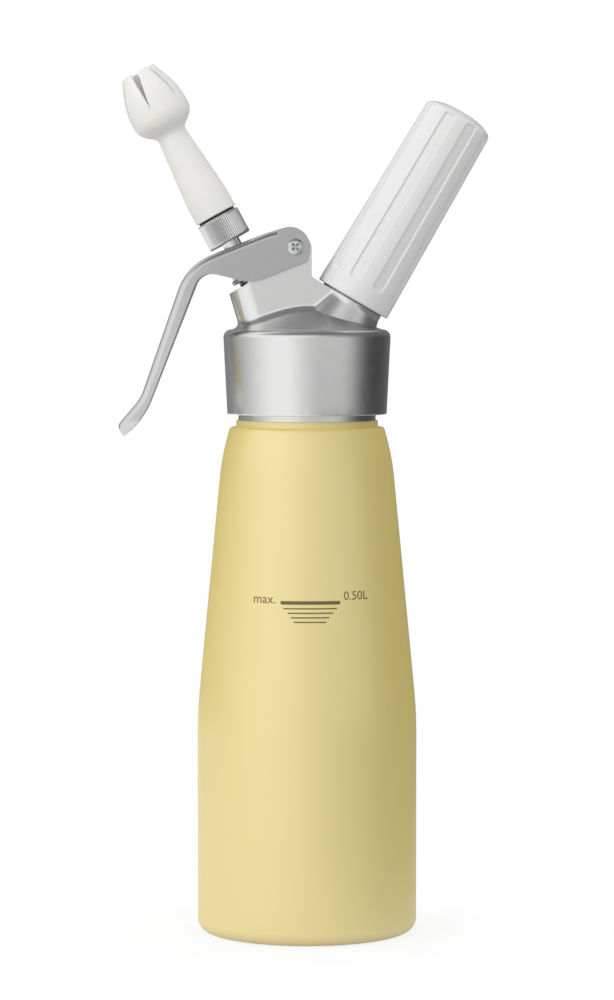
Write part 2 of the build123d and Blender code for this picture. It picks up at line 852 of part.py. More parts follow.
def make_charger():
    """Thin steel bottle: narrow neck, sloping shoulder, round end, and the hole the pin has made."""
    shoulder = charger_neck_length + charger_shoulder_length
    shell = [
        (0, 0),
        (charger_neck_radius, 0, 1.5),
        (charger_neck_radius, charger_neck_length, 2.0),
        (charger_radius, shoulder, charger_shoulder_round),
        (charger_radius, charger_length, charger_end_round),
        (0, charger_length),
    ]
    hole = Cylinder(needle_radius + pierced_clearance, 3 * charger_wall)
    return inlet_frame * Pos(0, 0, charger_tip) * (turned(*shell) - turned(*inset(shell, charger_wall)) - hole)


def make_charger_holder():
    """Cap for the charger: threaded over the stud, with shallow round-ended grip flutes along its side."""
    crown_foot = holder_top - holder_crown_height
    side_lean = degrees(atan((holder_foot_radius - holder_top_radius) / (crown_foot - holder_foot)))
    thread_top = stud_height + holder_thread_margin
    cap = turned(
        (0, holder_foot),
        (holder_foot_radius, holder_foot, 0.6),
        (holder_top_radius, crown_foot, holder_edge_round),
        (holder_crown_radius, holder_top, holder_crown_round),
        (0, holder_top),
    )
    bore = turned(
        (0, holder_foot),
        (holder_thread_radius, holder_foot),
        (holder_thread_radius, thread_top),
        (holder_bore_radius, thread_top + holder_thread_radius - holder_bore_radius),
        (holder_bore_radius, charger_top + charger_end_clearance, charger_end_round - charger_side_clearance),
        (0, charger_top + charger_end_clearance),
    )
    flute_foot = holder_foot + flute_start
    flute_length = crown_foot - flute_top_margin - flute_foot + holder_edge_round
    cutter = Plane.YZ * RectangleRounded(flute_width, flute_length, flute_corner)
    middle = flute_foot + flute_length / 2
    floor_radius = holder_foot_radius - (middle - holder_foot) * tan(radians(side_lean)) - flute_depth
    flute = Pos(floor_radius, 0, middle) * Rot(0, -side_lean, 0) * extrude(cutter, 3 * flute_depth)
    for index in range(flute_count):
        cap -= Rot(0, 0, flute_phase + index * 360 / flute_count) * flute
    return inlet_frame * (cap - bore)


# ---------------------------------------------------------------- gas check valve
def make_check_poppet():
    top = check_seat_z - lift_off_gap
    foot = top - poppet_thickness
    return Pos(check_x, 0, 0) * turned(
        (0, foot - poppet_guide_length),
        (poppet_guide_radius, foot - poppet_guide_length, 0.3),
        (poppet_guide_radius, foot),
        (poppet_radius, foot),
        (poppet_radius, top, 0.3),
        (0, top),
    )


def make_check_spring():
    height = check_chamber_depth - check_plug_thickness - lift_off_gap - poppet_thickness
    mean_radius = poppet_radius - check_wire_radius
    foot = ceiling_z + check_plug_thickness
    return Pos(check_x, 0, foot) * coil(mean_radius, check_wire_radius, height, check_spring_turns)


def make_check_plug():
    outer = check_chamber_radius - seated_clearance
    plug = turned(
        (poppet_guide_radius + running_clearance, 0),
        (outer, 0),
        (outer, check_plug_thickness),
        (poppet_guide_radius + running_clearance, check_plug_thickness),
    )
    for index in range(plug_hole_count):
        angle = index * 360 / plug_hole_count
        plug -= Rot(0, 0, angle) * Pos(plug_hole_circle, 0, 0) * Cylinder(
            plug_hole_radius, 3 * check_plug_thickness
        )
    return Pos(check_x, 0, ceiling_z) * plug


pieces = {
    "bottle": make_bottle,
    "head_body": make_head_body,
    "head_gasket": make_head_gasket,
    "guide_bush": make_guide_bush,
    "stem_oring": make_stem_oring,
    "valve_seat": make_valve_seat,
    "valve_stem": make_valve_stem,
    "spring_clip": make_spring_clip,
    "thrust_collar": make_thrust_collar,
    "valve_spring": make_valve_spring,
    "valve_seal": make_valve_seal,
    "valve_nut": make_valve_nut,
    "lever": make_lever,
    "pivot_sleeve": make_pivot_sleeve,
    "pivot_screw": make_pivot_screw,
    "nozzle_coupler": make_nozzle_coupler,
    "nozzle_ring": make_nozzle_ring,
    "nozzle_tip": make_nozzle_tip,
    "inlet_stud": make_inlet_stud,
    "inlet_washer": make_inlet_washer,
    "piercing_pin": make_piercing_pin,
    "charger_seal": make_charger_seal,
    "charger": make_charger,
    "charger_holder": make_charger_holder,
    "check_poppet": make_check_poppet,
    "check_spring": make_check_spring,
    "check_plug": make_check_plug,
}

os.makedirs("parts", exist_ok=True)
for name, make in pieces.items():
    export_step(make(), f"parts/{name}.step")
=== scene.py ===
from math import acos, atan2, ceil, cos, degrees, hypot, pi, radians, sin, sqrt, tan

import bmesh
import bpy
from mathutils import Matrix, Vector


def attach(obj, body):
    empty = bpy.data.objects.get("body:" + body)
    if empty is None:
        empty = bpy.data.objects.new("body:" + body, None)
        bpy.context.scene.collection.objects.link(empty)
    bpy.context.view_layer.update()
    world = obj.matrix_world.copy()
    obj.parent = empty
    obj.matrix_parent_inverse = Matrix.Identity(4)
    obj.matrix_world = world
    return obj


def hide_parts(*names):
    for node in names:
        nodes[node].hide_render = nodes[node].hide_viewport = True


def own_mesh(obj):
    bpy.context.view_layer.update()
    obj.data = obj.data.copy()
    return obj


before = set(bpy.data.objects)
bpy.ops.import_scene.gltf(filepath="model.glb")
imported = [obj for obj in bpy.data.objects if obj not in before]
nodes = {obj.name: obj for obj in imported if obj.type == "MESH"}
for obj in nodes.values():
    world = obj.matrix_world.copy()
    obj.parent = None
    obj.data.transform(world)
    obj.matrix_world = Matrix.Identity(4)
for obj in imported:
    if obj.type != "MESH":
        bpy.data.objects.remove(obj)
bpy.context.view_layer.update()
MM = 0.001

# ---------------------------------------------------------------- places, in mm, as in the part's source
ceiling_z = 207.5
valve_tilt, valve_foot_x, boss_rise = 28.85, -3.35, 34.1
inlet_tilt, inlet_foot_x, pad_rise = 30.4, 2.92, 26.43


def axis_frame(foot_x, tilt, rise):
    place = Matrix.Translation((foot_x * MM, 0, ceiling_z * MM))
    return place @ Matrix.Rotation(radians(tilt), 4, "Y") @ Matrix.Translation((0, 0, rise * MM))


VALVE = axis_frame(valve_foot_x, -valve_tilt, boss_rise)
INLET = axis_frame(inlet_foot_x, inlet_tilt, pad_rise)
UPRIGHT = Matrix.Identity(4)


def valve_point(across, along):
    return VALVE @ Vector((across * MM, 0, along * MM))


PIVOT = valve_point(19.6, 3.2)


# ---------------------------------------------------------------- mesh helpers
def rounded(corners, turn_step=6.0):
    """Points of a closed outline given as (r, z) or (r, z, rounding) corners, in mm."""
    points = []
    count = len(corners)
    for index, corner in enumerate(corners):
        rounding = corner[2] if len(corner) == 3 else 0
        here = Vector(corner[:2])
        if not rounding:
            points.append(here)
            continue
        back = (Vector(corners[index - 1][:2]) - here).normalized()
        ahead = (Vector(corners[(index + 1) % count][:2]) - here).normalized()
        half = acos(max(-1, min(1, back.dot(ahead)))) / 2
        reach = rounding / tan(half)
        centre = here + (back + ahead).normalized() * (rounding / sin(half))
        start, end = here + back * reach, here + ahead * reach
        first = atan2(start.y - centre.y, start.x - centre.x)
        turn = atan2(end.y - centre.y, end.x - centre.x) - first
        turn = (turn + pi) % (2 * pi) - pi
        pieces = max(2, ceil(abs(degrees(turn)) / turn_step))
        for step in range(pieces + 1):
            angle = first + turn * step / pieces
            points.append(centre + rounding * Vector((cos(angle), sin(angle))))
    return points


def divided(points, longest):
    """The same closed outline with no side longer than that many mm."""
    result = []
    for here, there in zip(points, points[1:] + points[:1]):
        parts = max(1, ceil((there - here).length / longest))
        result += [here.lerp(there, part / parts) for part in range(parts)]
    return result


def finish_mesh(name, mesh, place, sharp_angle=35):
    bmesh.ops.recalc_face_normals(mesh, faces=mesh.faces)
    data = bpy.data.meshes.new(name)
    mesh.to_mesh(data)
    mesh.free()
    data.shade_smooth()
    data.set_sharp_from_angle(angle=radians(sharp_angle))
    piece = bpy.data.objects.new(name, data)
    bpy.context.scene.collection.objects.link(piece)
    piece.matrix_world = place
    return piece


def lathe(name, corners, place, steps=192, longest=None, shape=None, turn_step=6.0):
    """Solid turned about local Z. shape(r, z, angle) may move a point in or out, all in mm."""
    outline = rounded(corners, turn_step)
    if longest:
        outline = divided(outline, longest)
    mesh = bmesh.new()
    rings = []
    for r, z in outline:
        if r < 1e-6:
            rings.append([mesh.verts.new((0, 0, z * MM))])
            continue
        ring = []
        for step in range(steps):
            angle = 2 * pi * step / steps
            radius = shape(r, z, angle) if shape else r
            ring.append(mesh.verts.new((radius * cos(angle) * MM, radius * sin(angle) * MM, z * MM)))
        rings.append(ring)
    for lower, upper in zip(rings, rings[1:] + rings[:1]):
        for step in range(steps):
            after = (step + 1) % steps
            quad = [lower[step % len(lower)], lower[after % len(lower)],
                    upper[after % len(upper)], upper[step % len(upper)]]
            quad = list(dict.fromkeys(quad))
            if len(quad) > 2:
                mesh.faces.new(quad)
    return finish_mesh(name, mesh, place)


def screw_thread(name, place, root, crest, pitch, foot, top, width, steps=96):
    """Helical ridge of rounded section that runs out to nothing at both ends.

    Root and crest are radii.
    """
    section = [(-0.5, 0), (-0.28, 0.7), (-0.12, 0.95), (0.12, 0.95), (0.28, 0.7), (0.5, 0)]
    turns = (top - foot) / pitch
    count = int(turns * steps)
    mesh = bmesh.new()
    rings = []
    for index in range(count + 1):
        share = index / count
        fade = min(1, share * turns * 3, (1 - share) * turns * 3)
        angle = 2 * pi * turns * share
        height = foot + (top - foot) * share
        ring = []
        for along, out in section:
            radius = root + (crest - root) * out * fade
            ring.append(mesh.verts.new((
                radius * cos(angle) * MM, radius * sin(angle) * MM, (height + along * width) * MM)))
        rings.append(ring)
    for before, after in zip(rings, rings[1:]):
        for side in range(len(section) - 1):
            mesh.faces.new((before[side], before[side + 1], after[side + 1], after[side]))
    mesh.faces.new(rings[0])
    mesh.faces.new(rings[-1])
    return finish_mesh(name, mesh, place, 60)


def coil(name, place, mean_radius, wire, foot, top, turns, steps=40, sides=12):
    """Round-wire spring whose end turns lie flat, between two heights."""
    mesh = bmesh.new()
    rings = []
    count = int((turns + 1.5) * steps)
    low, high = foot + wire, top - wire
    for index in range(count + 1):
        turned = index / steps
        share = max(0, min(1, (turned - 0.75) / turns))
        height = low + (high - low) * share
        angle = 2 * pi * turned
        rise = 0 if share in (0, 1) else (high - low) / (turns * 2 * pi * mean_radius)
        out = Vector((cos(angle), sin(angle), 0))
        along = Vector((-sin(angle), cos(angle), rise)).normalized()
        up = along.cross(out).normalized()
        centre = out * mean_radius + Vector((0, 0, height))
        rings.append([
            mesh.verts.new((centre + (out * cos(t) + up * sin(t)) * wire) * MM)
            for t in (2 * pi * side / sides for side in range(sides))
        ])
    for before, after in zip(rings, rings[1:]):
        for side in range(sides):
            other = (side + 1) % sides
            mesh.faces.new((before[side], before[other], after[other], after[side]))
    mesh.faces.new(rings[0])
    mesh.faces.new(rings[-1])
    return finish_mesh(name, mesh, place, 60)


def cut_away(piece, cutter, sharp_angle):
    """Takes a bmesh cutter, in the piece's own frame, out of it."""
    knife = finish_mesh("cutter", cutter, piece.matrix_world)
    cut = piece.modifiers.new("cut", "BOOLEAN")
    cut.object = knife
    cut.operation = "DIFFERENCE"
    cut.solver = "EXACT"
    bpy.context.view_layer.update()
    result = bpy.data.meshes.new_from_object(piece.evaluated_get(bpy.context.evaluated_depsgraph_get()))
    piece.modifiers.clear()
    piece.data = result
    piece.data.set_sharp_from_angle(angle=radians(sharp_angle))
    bpy.data.objects.remove(knife)
    return piece


# ---------------------------------------------------------------- materials
def nodes_of(material):
    tree = material.node_tree
    return tree.nodes, tree.links


def new_material(name, color, roughness, metallic=0.0, **inputs):
    material = bpy.data.materials.new(name)
    material.use_nodes = True
    shader = material.node_tree.nodes["Principled BSDF"]
    shader.inputs["Base Color"].default_value = (*color, 1)
    shader.inputs["Roughness"].default_value = roughness
    shader.inputs["Metallic"].default_value = metallic
    for socket, value in inputs.items():
        shader.inputs[socket.replace("_", " ")].default_value = value
    return material


def coordinates(material):
    tree_nodes, _ = nodes_of(material)
    found = tree_nodes.get("Texture Coordinate")
    return (found or tree_nodes.new("ShaderNodeTexCoord")).outputs["Object"]


def noise(material, scale, detail=3.0, rough=0.55, stretch=None, vector=None):
    """Noise in object space. scale is in features per metre, stretch multiplies the coordinates."""
    tree_nodes, links = nodes_of(material)
    source = vector or coordinates(material)
    if stretch:
        mapping = tree_nodes.new("ShaderNodeMapping")
        mapping.inputs["Scale"].default_value = stretch
        links.new(source, mapping.inputs["Vector"])
        source = mapping.outputs["Vector"]
    texture = tree_nodes.new("ShaderNodeTexNoise")
    texture.inputs["Scale"].default_value = scale
    texture.inputs["Detail"].default_value = detail
    texture.inputs["Roughness"].default_value = rough
    links.new(source, texture.inputs["Vector"])
    return texture.outputs["Fac"]


def math(material, operation, first, second=None, clamp=False):
    tree_nodes, links = nodes_of(material)
    node = tree_nodes.new("ShaderNodeMath")
    node.operation = operation
    node.use_clamp = clamp
    for socket, value in zip(node.inputs, (first, second)):
        if value is None:
            continue
        if isinstance(value, (int, float)):
            socket.default_value = value
        else:
            links.new(value, socket)
    return node.outputs[0]


def mapped(material, value, low, high, to_low, to_high, smooth=False):
    tree_nodes, links = nodes_of(material)
    node = tree_nodes.new("ShaderNodeMapRange")
    if smooth:
        node.interpolation_type = "SMOOTHSTEP"
    links.new(value, node.inputs["Value"])
    sockets = ("From Min", "From Max", "To Min", "To Max")
    for socket, number in zip(sockets, (low, high, to_low, to_high)):
        node.inputs[socket].default_value = number
    return node.outputs["Result"]


def tint(material, factor, first, second):
    """Base colour that runs between two colours."""
    tree_nodes, links = nodes_of(material)
    node = tree_nodes.new("ShaderNodeMix")
    node.data_type = "RGBA"
    links.new(factor, node.inputs["Factor"])
    node.inputs["A"].default_value = (*first, 1)
    node.inputs["B"].default_value = (*second, 1)
    links.new(node.outputs["Result"], tree_nodes["Principled BSDF"].inputs["Base Color"])
    return node


def set_roughness(material, value):
    tree_nodes, links = nodes_of(material)
    links.new(value, tree_nodes["Principled BSDF"].inputs["Roughness"])


def set_bump(material, height, distance, strength=1.0, edge=None):
    """Bump of that distance in metres, over edges softened by the radius edge."""
    tree_nodes, links = nodes_of(material)
    node = tree_nodes.new("ShaderNodeBump")
    node.inputs["Distance"].default_value = distance
    node.inputs["Strength"].default_value = strength
    links.new(height, node.inputs["Height"])
    if edge:
        bevel = tree_nodes.new("ShaderNodeBevel")
        bevel.samples = 6
        bevel.inputs["Radius"].default_value = edge
        links.new(bevel.outputs["Normal"], node.inputs["Normal"])
    links.new(node.outputs["Normal"], tree_nodes["Principled BSDF"].inputs["Normal"])


def split_xyz(material):
    tree_nodes, links = nodes_of(material)
    node = tree_nodes.new("ShaderNodeSeparateXYZ")
    links.new(coordinates(material), node.inputs["Vector"])
    return node.outputs["X"], node.outputs["Y"], node.outputs["Z"]


def radius_of(material):
    x, y, _ = split_xyz(material)
    square = math(material, "ADD", math(material, "MULTIPLY", x, x), math(material, "MULTIPLY", y, y))
    return math(material, "SQRT", square)


def turned_lines(material, scale):
    """Fine rings about local Z: noise that changes only with height and radius."""
    tree_nodes, links = nodes_of(material)
    _, _, z = split_xyz(material)
    run = math(material, "ADD", z, math(material, "MULTIPLY", radius_of(material), 0.83))
    texture = tree_nodes.new("ShaderNodeTexNoise")
    texture.noise_dimensions = "1D"
    texture.inputs["Scale"].default_value = scale
    texture.inputs["Detail"].default_value = 4.0
    texture.inputs["Roughness"].default_value = 0.65
    links.new(run, texture.inputs["W"])
    return texture.outputs["Fac"]


def radial_tangent(material):
    tree_nodes, links = nodes_of(material)
    node = tree_nodes.new("ShaderNodeTangent")
    node.direction_type = "RADIAL"
    node.axis = "Z"
    links.new(node.outputs["Tangent"], tree_nodes["Principled BSDF"].inputs["Tangent"])


def paint_yellow():
    m = new_material("yellow_paint", (0.82, 0.65, 0.165), 0.37, IOR=3.1)
    tint(m, noise(m, 45, 3), (0.83, 0.66, 0.172), (0.81, 0.64, 0.158))
    set_roughness(m, mapped(m, noise(m, 260, 4), 0.35, 0.65, 0.34, 0.4))
    set_bump(m, noise(m, 1500, 2), 0.00001, 0.5)
    return m


def bare_aluminium():
    m = new_material("bare_aluminium", (0.80, 0.80, 0.79), 0.25, 1.0, Anisotropic=0.5)
    lines = turned_lines(m, 3500)
    tint(m, lines, (0.70, 0.70, 0.69), (0.86, 0.86, 0.85))
    set_roughness(m, mapped(m, lines, 0.3, 0.7, 0.18, 0.30))
    set_bump(m, lines, 0.000012, 0.4)
    radial_tangent(m)
    return m


def head_aluminium():
    """Satin casting: fine even grain, with faint turning marks on the collar and the deck."""
    m = new_material("head_aluminium", (0.80, 0.80, 0.795), 0.25, 1.0)
    _, _, z = split_xyz(m)
    deck = math(m, "ADD", math(m, "MULTIPLY", math(m, "SUBTRACT", 0.0272, radius_of(m)), 0.4245), 0.2199)
    turned = mapped(m, math(m, "SUBTRACT", z, deck), 0.0006, 0.0016, 0.3, 0, True)
    rings = math(m, "MULTIPLY", math(m, "SUBTRACT", turned_lines(m, 3000), 0.5), turned)
    relief = math(m, "ADD", rings, noise(m, 2400, 3))
    tint(m, relief, (0.77, 0.77, 0.765), (0.83, 0.83, 0.825))
    set_roughness(m, mapped(m, noise(m, 220, 3), 0.3, 0.7, 0.21, 0.26))
    set_bump(m, relief, 0.000008, 0.16, 0.0003)
    return m


def lever_aluminium():
    """Satin sheet, with a painted sheen that lightens the base colour from the bend to the tip of the
    handle.
    """
    m = new_material("lever_aluminium", (0.53, 0.53, 0.53), 0.26, 1.0)
    tree_nodes, links = nodes_of(m)
    grain = noise(m, 900, 4, 0.6, (1.0, 0.12, 1.0))
    x, _, _ = split_xyz(m)
    # painted sheen: base colour lighter towards the handle's tip, where its rounded side would catch
    # more light
    painted_sheen = mapped(m, x, -0.052, -0.03, 0.15, 0, True)
    level = math(m, "ADD", mapped(m, grain, 0, 1, 0.51, 0.55), painted_sheen)
    links.new(level, tree_nodes["Principled BSDF"].inputs["Base Color"])
    set_roughness(m, mapped(m, noise(m, 220, 3), 0.3, 0.7, 0.22, 0.28))
    set_bump(m, noise(m, 2400, 3), 0.000008, 0.1, 0.0003)
    return m


def steel(name, color, low, high, rings=0.0, edge=None):
    """Machined or rolled steel. rings is how strongly turning marks show, about local Z."""
    m = new_material(name, color, (low + high) / 2, 1.0)
    grain = turned_lines(m, 4200) if rings else noise(m, 1800, 3)
    darker = tuple(0.88 * value for value in color)
    lighter = tuple(min(1, 1.07 * value) for value in color)
    tint(m, grain, darker, lighter)
    set_roughness(m, mapped(m, noise(m, 350, 3), 0.3, 0.7, low, high))
    set_bump(m, grain, 0.000008, max(rings, 0.25), edge)
    return m


def white_gloss():
    m = new_material("white_gloss", (0.78, 0.78, 0.78), 0.22, Subsurface_Weight=0.05,
                     Subsurface_Scale=0.001)
    tint(m, noise(m, 60, 2), (0.79, 0.79, 0.788), (0.77, 0.77, 0.765))
    set_roughness(m, mapped(m, noise(m, 500, 3), 0.3, 0.7, 0.18, 0.26))
    set_bump(m, noise(m, 700, 2), 0.000012, 0.3)
    return m


def natural_plastic():
    m = new_material("natural_plastic", (0.84, 0.83, 0.80), 0.42, Subsurface_Weight=0.35,
                     Subsurface_Scale=0.003)
    tint(m, noise(m, 120, 3), (0.86, 0.855, 0.83), (0.82, 0.81, 0.775))
    set_roughness(m, mapped(m, noise(m, 900, 3), 0.3, 0.7, 0.36, 0.5))
    set_bump(m, noise(m, 2600, 2), 0.00001, 0.4)
    return m


def plastic(name, color, low, high):
    m = new_material(name, color, (low + high) / 2)
    tint(m, noise(m, 150, 3), color, tuple(0.9 * value for value in color))
    set_roughness(m, mapped(m, noise(m, 900, 3), 0.3, 0.7, low, high))
    set_bump(m, noise(m, 2200, 2), 0.00001, 0.4)
    return m


def rubber(name, color):
    m = new_material(name, color, 0.6)
    tint(m, noise(m, 400, 4), color, tuple(1.5 * value + 0.01 for value in color))
    set_roughness(m, mapped(m, noise(m, 700, 3), 0.3, 0.7, 0.5, 0.7))
    set_bump(m, noise(m, 3000, 3), 0.00002, 0.5)
    return m


def print_ink():
    m = new_material("print_ink", (0.13, 0.10, 0.03), 0.5)
    tint(m, noise(m, 1200, 4), (0.12, 0.095, 0.03), (0.18, 0.145, 0.05))
    set_roughness(m, mapped(m, noise(m, 900, 2), 0.3, 0.7, 0.42, 0.58))
    return m


YELLOW = paint_yellow()
BARE = bare_aluminium()
HEAD = head_aluminium()
LEVER = lever_aluminium()
STEEL = steel("stainless_turned", (0.76, 0.76, 0.755), 0.16, 0.26, 0.4)
STEEL_PLAIN = steel("stainless_plain", (0.74, 0.74, 0.735), 0.18, 0.3, 0.0, 0.0002)
POLISHED = steel("stainless_polished", (0.76, 0.76, 0.755), 0.07, 0.12)
# painted shade: darker steel in the knurl's grooves stands in for the shade that falls there
GROOVE_SHADE = steel("knurl_groove_shade", (0.55, 0.55, 0.55), 0.3, 0.4)
# painted shade: dark grey steel stands in for the shade deep in the screw's cross recess
RECESS_SHADE = steel("recess_painted_shade", (0.2, 0.2, 0.2), 0.3, 0.4)
SPRING = steel("spring_wire", (0.42, 0.42, 0.42), 0.2, 0.32)
ZINC = steel("zinc_plating", (0.70, 0.71, 0.72), 0.2, 0.36)
WHITE = white_gloss()
NATURAL = natural_plastic()
ACETAL = plastic("acetal", (0.82, 0.82, 0.79), 0.35, 0.5)
RUBBER = rubber("dark_rubber", (0.022, 0.022, 0.023))
GREY_RUBBER = rubber("grey_rubber", (0.22, 0.22, 0.22))
PALE_RUBBER = rubber("pale_rubber", (0.5, 0.5, 0.48))
INK = print_ink()


def dress(piece, *materials):
    piece.data.materials.clear()
    for material in materials:
        piece.data.materials.append(material)
    return piece


def add(piece, body, material, replaced=()):
    """A finished piece rides on its body and stands for the CAD nodes it replaces."""
    dress(piece, *(material if isinstance(material, tuple) else (material,)))
    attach(piece, body)
    if replaced:
        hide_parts(*replaced)
    return piece


# ---------------------------------------------------------------- bottle
bottle_outer = [
    (0, 6), (19, 6, 10), (31, 0, 3), (40, 0, 4.75), (40, 80.3, 150), (31, 173.9, 88), (28, 184.5, 1.3),
    (25.8, 184.5), (25.8, 186.9, 0.35), (25.0, 186.9), (25.0, 190.5, 0.3), (23.9, 190.5, 0.2),
    (23.9, 205.2, 0.5),
]
bottle_inner = [
    (22.7, 205.2, 0.3), (22.7, 183.3, 2.0), (27.05, 183.3, 0.3), (29.83, 173.85, 86), (38.8, 80.2, 150),
    (38.8, 1.2, 3.55), (31.25, 1.2, 3), (19.3, 7.2, 8.8), (0, 7.2),
]


def bottle_radius_at(z):
    """Outer radius of the bottle's painted side, in mm."""
    outline = [p for p in rounded(bottle_outer, 1.0) if 3 < p.y < 184]
    for lower, upper in zip(outline, outline[1:]):
        if lower.y <= z <= upper.y:
            return lower.x + (upper.x - lower.x) * (z - lower.y) / (upper.y - lower.y)
    return 40.0


bottle = lathe("bottle_shell", bottle_outer + bottle_inner, UPRIGHT, 256, 6.0, turn_step=2.0)
add(bottle, "bottle", (YELLOW, BARE), ["bottle"])
for face in bottle.data.polygons:
    outward = face.normal.x * face.center.x + face.normal.y * face.center.y
    outside = outward > 0 or (face.normal.z < 0 and face.center.z < 0.0068)
    shoulder = face.normal.z > 0.9 and 0.184 < face.center.z < 0.1871
    painted = face.center.z < 0.18695 and (outside or shoulder)
    face.material_index = 0 if painted else 1

neck_thread = screw_thread("neck_thread", UPRIGHT, 23.85, 24.95, 3.0, 193.0, 203.0, 1.9, 128)
add(neck_thread, "bottle", BARE)


def on_bottle(x, z, lift=0.03):
    """Point on the bottle's painted front, in metres, for a place in mm as seen from the front."""
    radius = bottle_radius_at(z)
    return Vector((x, -sqrt(radius * radius - x * x) - lift, z)) * MM


def printed_bar(name, left, right, middle, thickness):
    mesh = bmesh.new()
    rows = []
    for step in range(41):
        x = left + (right - left) * step / 40
        rows.append([mesh.verts.new(on_bottle(x, middle + side * thickness / 2)) for side in (-1, 1)])
    for before, after in zip(rows, rows[1:]):
        mesh.faces.new((before[0], after[0], after[1], before[1]))
    return add(finish_mesh(name, mesh, UPRIGHT), "bottle", INK)


def printed_text(name, words, left, right, foot, height):
    """Generic capacity words, wrapped on the bottle between two places in mm."""
    curve = bpy.data.curves.new(name, "FONT")
    curve.body = words
    curve.resolution_u = 6
    holder = bpy.data.objects.new(name, curve)
    bpy.context.scene.collection.objects.link(holder)
    bpy.context.view_layer.update()
    data = bpy.data.meshes.new_from_object(holder)
    bpy.data.objects.remove(holder)
    mesh = bmesh.new()
    mesh.from_mesh(data)
    bmesh.ops.triangulate(mesh, faces=mesh.faces)
    bmesh.ops.subdivide_edges(mesh, edges=mesh.edges, cuts=1)
    xs = [v.co.x for v in mesh.verts]
    low, high = min(xs), max(xs)
    tall = max(v.co.y for v in mesh.verts)
    for v in mesh.verts:
        x = left + (right - left) * (v.co.x - low) / (high - low)
        v.co = on_bottle(x, foot + height * v.co.y / tall)
    return add(finish_mesh(name, mesh, UPRIGHT), "bottle", INK)


printed_bar("fill_line", -9.4, 11.75, 123.0, 1.25)
for index, (left, right) in enumerate(((-8.4, 10.65), (-6.8, 9.35), (-5.7, 8.05), (-4.75, 6.85))):
    printed_bar(f"fill_mark_{index}", left, right, 120.95 - 1.6 * index, 0.45)
printed_text("fill_word", "max.", -19.0, -11.3, 122.7, 2.2)
printed_text("fill_volume", "0.50L", 13.15, 21.7, 123.9, 3.05)

# ---------------------------------------------------------------- head
head_thread = screw_thread("head_thread", UPRIGHT, 25.42, 25.14, 3.0, 191.5, 203.5, 1.6, 128)
add(head_thread, "head", HEAD)


# ---------------------------------------------------------------- valve, nozzle
def knurled(r, z, angle):
    """Straight knurls on the coupler's side, none on its chamfers."""
    if r < 8.05 or not 17.2 < z < 25.8:
        return r
    phase = (angle * 60 / (2 * pi)) % 1
    return r - 0.38 * abs(2 * phase - 1)


coupler = lathe("coupler_body", [
    (3.2, 16.6, 0.3), (7.7, 16.6, 0.2), (8.1, 17.0), (8.1, 17.4), (8.1, 25.6), (8.1, 26.0),
    (7.7, 26.4, 0.2), (5.8, 26.4, 0.2), (5.8, 21.7, 0.3), (3.2, 21.7, 0.2),
], VALVE, 480, 0.6, knurled)
add(coupler, "coupler", (STEEL, GROOVE_SHADE), ["nozzle_coupler"])
# faces down in the knurl's grooves get the painted shade
for face in coupler.data.polygons:
    middle = face.center / MM
    in_shaded_groove = 7.4 < hypot(middle.x, middle.y) < 7.86 and 17.3 < middle.z < 25.7
    face.material_index = 1 if in_shaded_groove else 0

stem_thread = screw_thread("stem_thread", VALVE, 2.87, 3.15, 0.8, 17.1, 21.7, 0.55, 48)
add(stem_thread, "valve", STEEL)
shank_thread = screw_thread("shank_thread", VALVE, 5.47, 5.74, 1.0, 22.9, 27.0, 0.7, 64)
add(shank_thread, "nozzle", NATURAL)


def make_nozzle():
    """Shank, tube and hollow tulip whose six leaves are parted by slots that narrow to nothing."""
    piece = lathe("nozzle_body", [
        (3.0, 22.4, 0.2), (5.5, 22.4, 0.5), (5.5, 27.25), (7.9, 27.25, 0.4), (7.9, 35.15, 60),
        (5.35, 61.15, 2.5), (11.05, 65.55, 6.9), (11.05, 75.25, 30), (6.5, 86.15), (4.33, 86.15),
        (9.05, 74.9, 28), (9.05, 66.6, 4.9), (4.4, 63.1, 1.0), (3.0, 61.2),
    ], VALVE, 192, 1.5, turn_step=3.0)
    cutter = bmesh.new()
    for index in range(6):
        turn = Matrix.Rotation(radians(-101 + 60 * index), 4, "Z")
        rings = []
        for x in (3.4, 14.0):
            corners = ((0, 71.85), (1.72, 87.2), (-1.72, 87.2))
            rings.append([cutter.verts.new(turn @ (Vector((x, y, z)) * MM)) for y, z in corners])
        for side in range(3):
            after = (side + 1) % 3
            cutter.faces.new((rings[0][side], rings[0][after], rings[1][after], rings[1][side]))
        cutter.faces.new(rings[0])
        cutter.faces.new(rings[1])
    return cut_away(piece, cutter, 35)


add(make_nozzle(), "nozzle", NATURAL, ["nozzle_tip"])

spring = coil("valve_spring_coil", VALVE, 4.25, 0.5, -7.38, 1.67, 4)
add(spring, "head", SPRING, ["valve_spring"])
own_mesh(spring)

# ---------------------------------------------------------------- inlet
stud = lathe("stud_body", [
    (1.5, -8), (5.98, -8, 0.5), (5.98, 0), (10.8, 0), (10.8, 15, 0.8), (4.9, 15, 0.5), (4.9, 5),
    (1.5, 5),
], INLET, 128)
add(stud, "head", STEEL, ["inlet_stud"])
stud_thread = screw_thread("stud_thread", INLET, 10.75, 11.05, 1.25, 2.0, 14.0, 0.9, 96)
add(stud_thread, "head", STEEL)


def fluted(r, z, angle):
    """Nine round-ended grip flutes with soft edges."""
    if r < 12.0 or not 6.5 < z < 78:
        return r
    pitch = 2 * pi / 9
    offset = (angle - radians(-105) + pitch / 2) % pitch - pitch / 2
    middle, half_length, half_width, corner = (7.8 + 76.1) / 2, (76.1 - 7.8) / 2, 2.2, 1.5
    across = abs(offset) * r - (half_width - corner)
    along = abs(z - middle) - (half_length - corner)
    away = hypot(max(across, 0), max(along, 0)) + min(max(across, along), 0) - corner
    depth = max(0, min(1, 0.5 - away / 0.5))
    return r - 0.75 * depth * depth * (3 - 2 * depth)


